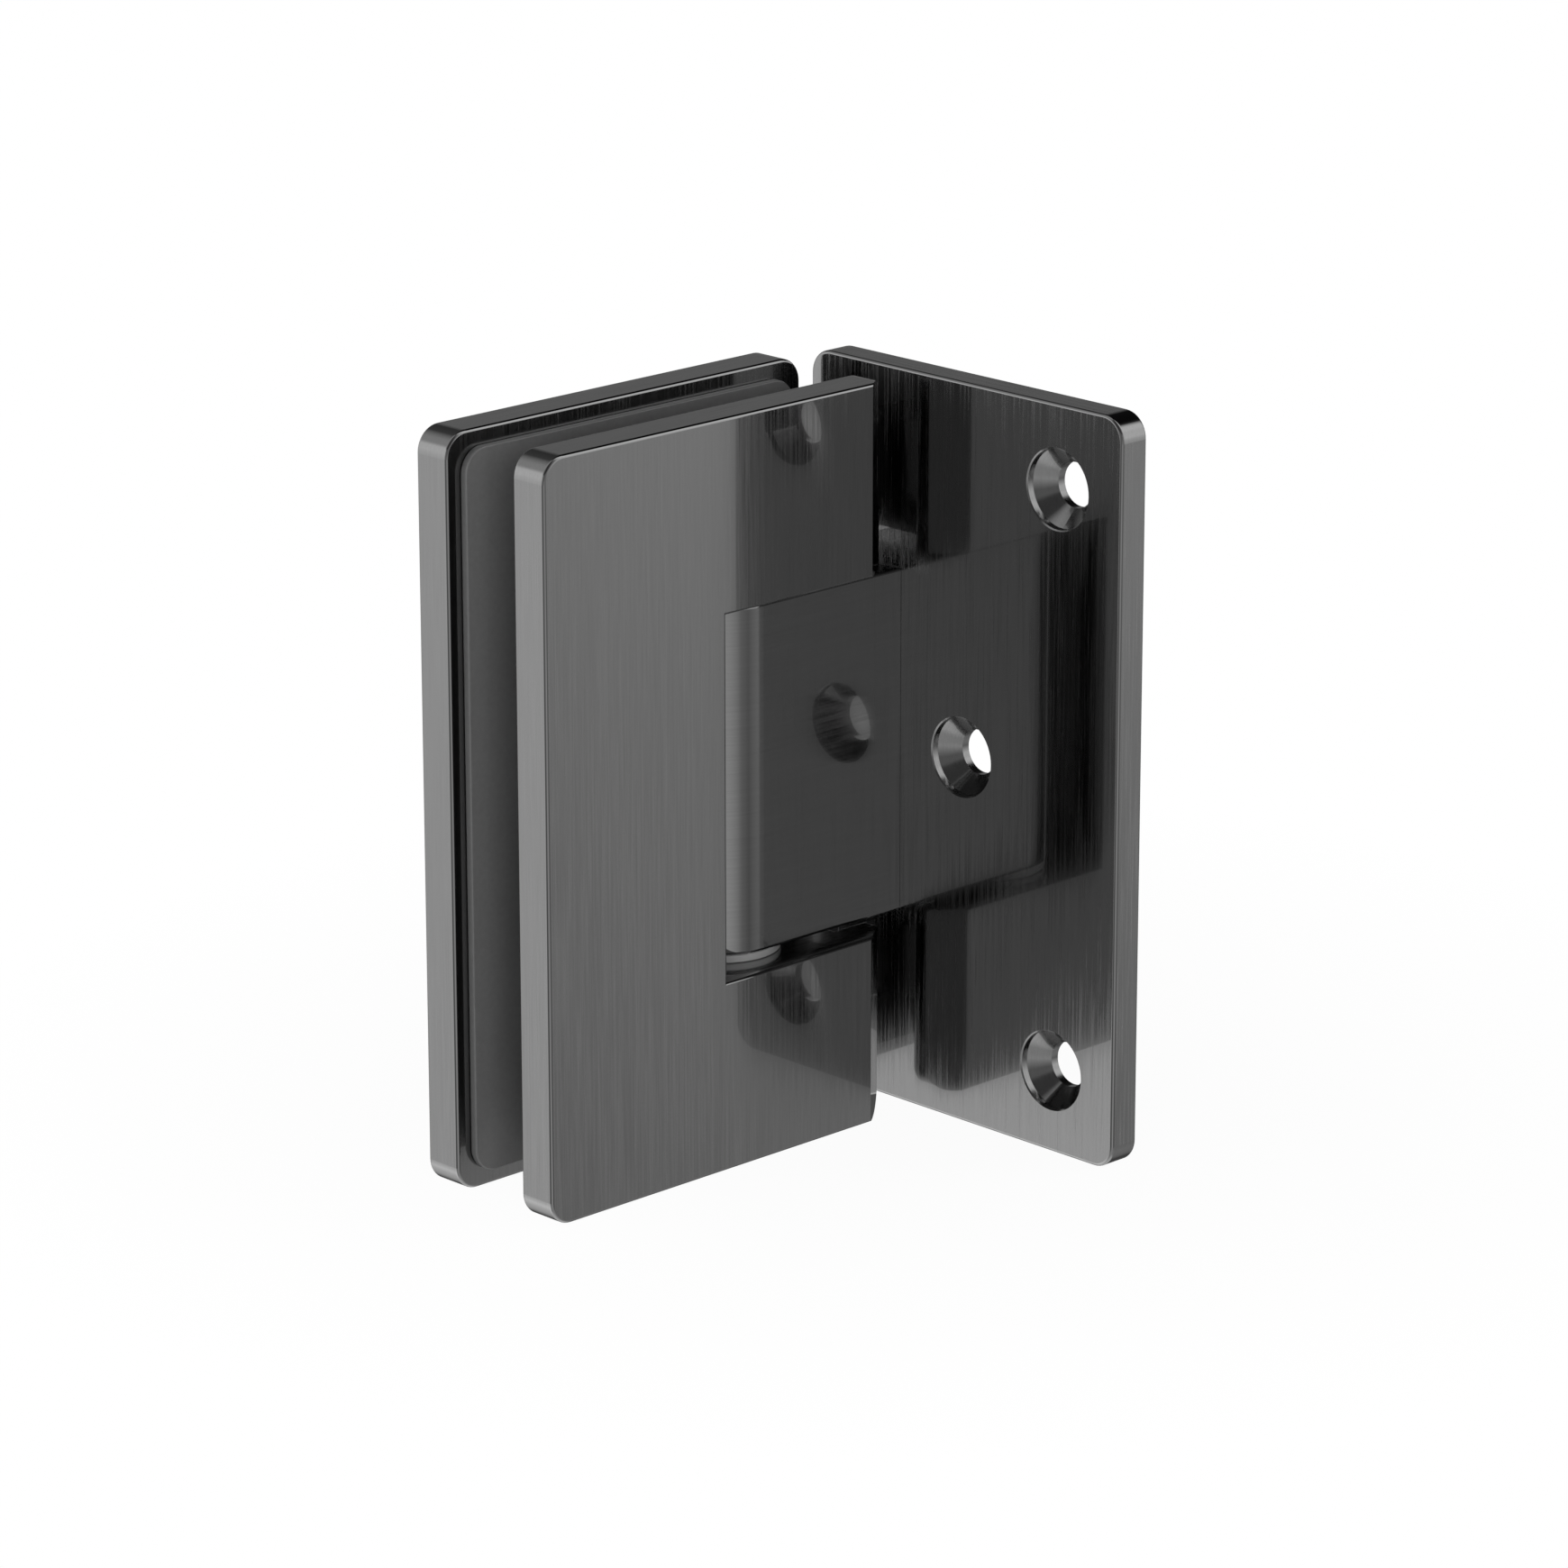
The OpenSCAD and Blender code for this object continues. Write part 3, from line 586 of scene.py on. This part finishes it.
def vary_finish(tree, shader, pattern, dark, light, smooth, dull):
    """Colour and roughness that go from one value to another with a pattern of greys."""
    low, high = 0.3, 0.7
    shades = add_node(tree, "ShaderNodeValToRGB")
    for stop, position, colour in zip(shades.color_ramp.elements, (low, high), (dark, light)):
        stop.position = position
        stop.color = (*colour, 1)
    rough = add_node(
        tree, "ShaderNodeMapRange", From_Min=low, From_Max=high, To_Min=smooth, To_Max=dull,
    )
    tree.links.new(pattern, shades.inputs["Fac"])
    tree.links.new(pattern, rough.inputs["Value"])
    tree.links.new(shades.outputs["Color"], shader.inputs["Base Color"])
    tree.links.new(rough.outputs["Result"], shader.inputs["Roughness"])


def turned_plastic(name, dark, light, smooth, dull):
    """Plastic with fine rings from the lathe round the pivot pin."""
    material, tree, shader = new_material(name)
    place = add_node(tree, "ShaderNodeTexCoord")
    marks = add_node(tree, "ShaderNodeGroup", node_tree=turning)
    marks.inputs["Centre"].default_value = pin_centre
    marks.inputs["Axis"].default_value = pin_axis
    tree.links.new(place.outputs["Object"], marks.inputs["Place"])
    vary_finish(tree, shader, marks.outputs["Rings"], dark, light, smooth, dull)
    return material


acetal = turned_plastic(
    "bush_acetal", dark=(0.76, 0.75, 0.71), light=(0.84, 0.83, 0.79), smooth=0.35, dull=0.5,
)
shader = acetal.node_tree.nodes["Principled BSDF"]
shader.inputs["Subsurface Weight"].default_value = 0.1
shader.inputs["Subsurface Scale"].default_value = 0.001
for name in ("bush_upper", "bush_lower"):
    nodes[name].data.materials[0] = acetal

# The detent plungers and their springs: ground steel barrels with a seat behind them for a coil
# of drawn steel wire, which presses them on the pin's flats.
plunger_centre = (0, 0, 0.0062)
plunger_steel = turned_metal(
    "plunger_steel", grey=0.55, centre=plunger_centre, axis=(1, 0, 0), smooth=0.15, dull=0.28,
)
spring_steel = turned_metal(
    "spring_steel", grey=0.5, centre=plunger_centre, axis=(0, 1, 0), smooth=0.25, dull=0.4,
)
for side in ("upper", "lower"):
    nodes[f"plunger_{side}"].data.materials[0] = plunger_steel
    nodes[f"plunger_spring_{side}"].data.materials[0] = spring_steel

# The two clamp plates: bar cut like the wall plate's, with a square cut-out for the block.
# The front one carries the lugs and has a chamfer on its wall-side edge.
clamp_gunmetal = brushed_metal(
    "gunmetal_clamp",
    side_scale=(brushing_lines, brushing_lines, brushing_length),
    top_scale=(brushing_length, brushing_lines, brushing_lines),
    smooth=0.1, dull=0.25, lay_axis=(0.02, 0, 1), turn=0.25,
)
nodes["front_clamp_plate"].data.materials[0] = clamp_gunmetal
nodes["back_clamp_plate"].data.materials[0] = clamp_gunmetal

# The gaskets: smooth dark sheets, cut to a C around the lugs and stuck to the plates' inner faces.
# Their corners follow the plates', and their cut edges are slightly rounded.
gasket_x = (-0.0612, -0.0102)
gasket_height = 0.086
gasket_thickness = 0.001
gasket_corner = 0.003
gasket_edge = 0.0002
window_x = -0.0502
window_height = 0.074
gasket_faces = {"front_gasket": -0.005, "back_gasket": 0.005}
gasket_sheet, tree, shader = new_material("gasket_sheet")
place = add_node(tree, "ShaderNodeTexCoord")
mottle = add_node(tree, "ShaderNodeTexNoise", Scale=1500, Detail=4, Roughness=0.6)
tree.links.new(place.outputs["Object"], mottle.inputs["Vector"])
vary_finish(
    tree, shader, mottle.outputs["Fac"],
    dark=(0.08, 0.08, 0.08), light=(0.092, 0.092, 0.092), smooth=0.3, dull=0.36,
)
gasket_width = gasket_x[1] - gasket_x[0]
for name, middle_y in gasket_faces.items():
    bpy.ops.object.select_all(action="DESELECT")
    bpy.ops.mesh.primitive_cube_add(
        size=1, location=(gasket_x[0] + gasket_width / 2, middle_y, 0),
        scale=(gasket_width, gasket_thickness, gasket_height),
    )
    sheet = bpy.context.object
    sheet.name = f"{name}_sheet"
    bpy.ops.object.transform_apply(location=True, rotation=True, scale=True)
    select_parts(sheet, "EDGE", lambda middle, along: abs(along.y) > square_on)
    bpy.ops.mesh.bevel(offset=gasket_corner, segments=12)
    bpy.ops.object.mode_set(mode="OBJECT")
    bpy.ops.object.select_all(action="DESELECT")
    bpy.ops.mesh.primitive_cube_add(
        size=1, location=(window_x + gasket_width / 2, middle_y, 0),
        scale=(gasket_width, gasket_thickness * 3, window_height),
    )
    cut_away(sheet, bpy.context.object)
    sheet.select_set(True)
    bpy.context.view_layer.objects.active = sheet
    rounding = sheet.modifiers.new("rounding", "BEVEL")
    rounding.width = gasket_edge
    rounding.segments = 3
    rounding.limit_method = "ANGLE"
    bpy.ops.object.modifier_apply(modifier="rounding")
    bpy.ops.object.shade_smooth_by_angle(angle=radians(40))
    sheet.data.materials.append(gasket_sheet)
    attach(sheet, "door_clamp")
    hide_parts(name)

# The pivot pin: a ground steel pin with chamfered ends and three detent flats.
# It is held in the clamp's lugs and turns in the bushes.
pin_steel = turned_metal(
    "pin_steel", grey=0.55, centre=pin_centre, axis=pin_axis, smooth=0.12, dull=0.25,
)
nodes["pivot_pin"].data.materials[0] = pin_steel

# The thrust washers: plain rings turned from mid grey nylon, above and below the block.
# They carry the door's weight on the block's faces.
nylon = turned_plastic(
    "washer_nylon", dark=(0.175, 0.175, 0.175), light=(0.205, 0.205, 0.205), smooth=0.4, dull=0.55,
)
for name in ("thrust_washer_upper", "thrust_washer_lower"):
    nodes[name].data.materials[0] = nylon

# The pin's set screws: small headless socket screws of darkened steel, driven in through the
# lugs from the wall side until they press on the pin.
set_screw_r = 0.002
set_screw_length = 0.00897
set_screw_socket = 0.002
set_screw_x = -0.0135
set_screw_z = 0.025
set_screw_axis = (1, 0, 0)
set_screw_places = {
    "pin_set_screw_upper": (set_screw_x, 0, set_screw_z),
    "pin_set_screw_lower": (set_screw_x, 0, -set_screw_z),
}
set_screw_steel = turned_metal(
    "set_screw_steel",
    grey=screw_shade, centre=(0, 0, set_screw_z), axis=set_screw_axis, smooth=0.2, dull=0.32,
)
set_screw = socket_screw("set_screw", set_screw_r, set_screw_r, set_screw_length, set_screw_socket)
set_screw.data.materials.append(set_screw_steel)
for screw in placed_copies(set_screw, set_screw_places, set_screw_axis):
    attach(screw, "door_clamp")

# The four clamp screws: countersunk steel socket screws, turned and darkened. They go through the
# back plate and the lugs into the front plate, and grip the glass between the gaskets.
clamp_screw_r = 0.0025
clamp_screw_head_r = 0.005
clamp_screw_length = 0.01835
clamp_screw_y = 0.0103
clamp_screw_z = 0.0315
clamp_screw_x = (-0.0415, -0.0182)
clamp_screw_axis = (0, 1, 0)
clamp_screw_middle_x = -sum(clamp_screw_x) / 2
clamp_screw_apart = clamp_screw_x[1] - clamp_screw_x[0]
clamp_screw_places = {
    "clamp_screw_1": (clamp_screw_x[0], clamp_screw_y, clamp_screw_z),
    "clamp_screw_2": (clamp_screw_x[1], clamp_screw_y, clamp_screw_z),
    "clamp_screw_3": (clamp_screw_x[0], clamp_screw_y, -clamp_screw_z),
    "clamp_screw_4": (clamp_screw_x[1], clamp_screw_y, -clamp_screw_z),
}
clamp_screw_steel = turned_metal(
    "clamp_screw_steel",
    grey=screw_shade, centre=(clamp_screw_middle_x, 0, clamp_screw_z), axis=clamp_screw_axis,
    smooth=0.2, dull=0.32, offset=(clamp_screw_apart / 2, 0, 0),
)
clamp_screw = socket_screw(
    "clamp_screw", clamp_screw_r, clamp_screw_head_r, clamp_screw_length, socket_width,
)
clamp_screw.data.materials.append(clamp_screw_steel)
for screw in placed_copies(clamp_screw, clamp_screw_places, clamp_screw_axis):
    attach(screw, "door_clamp")
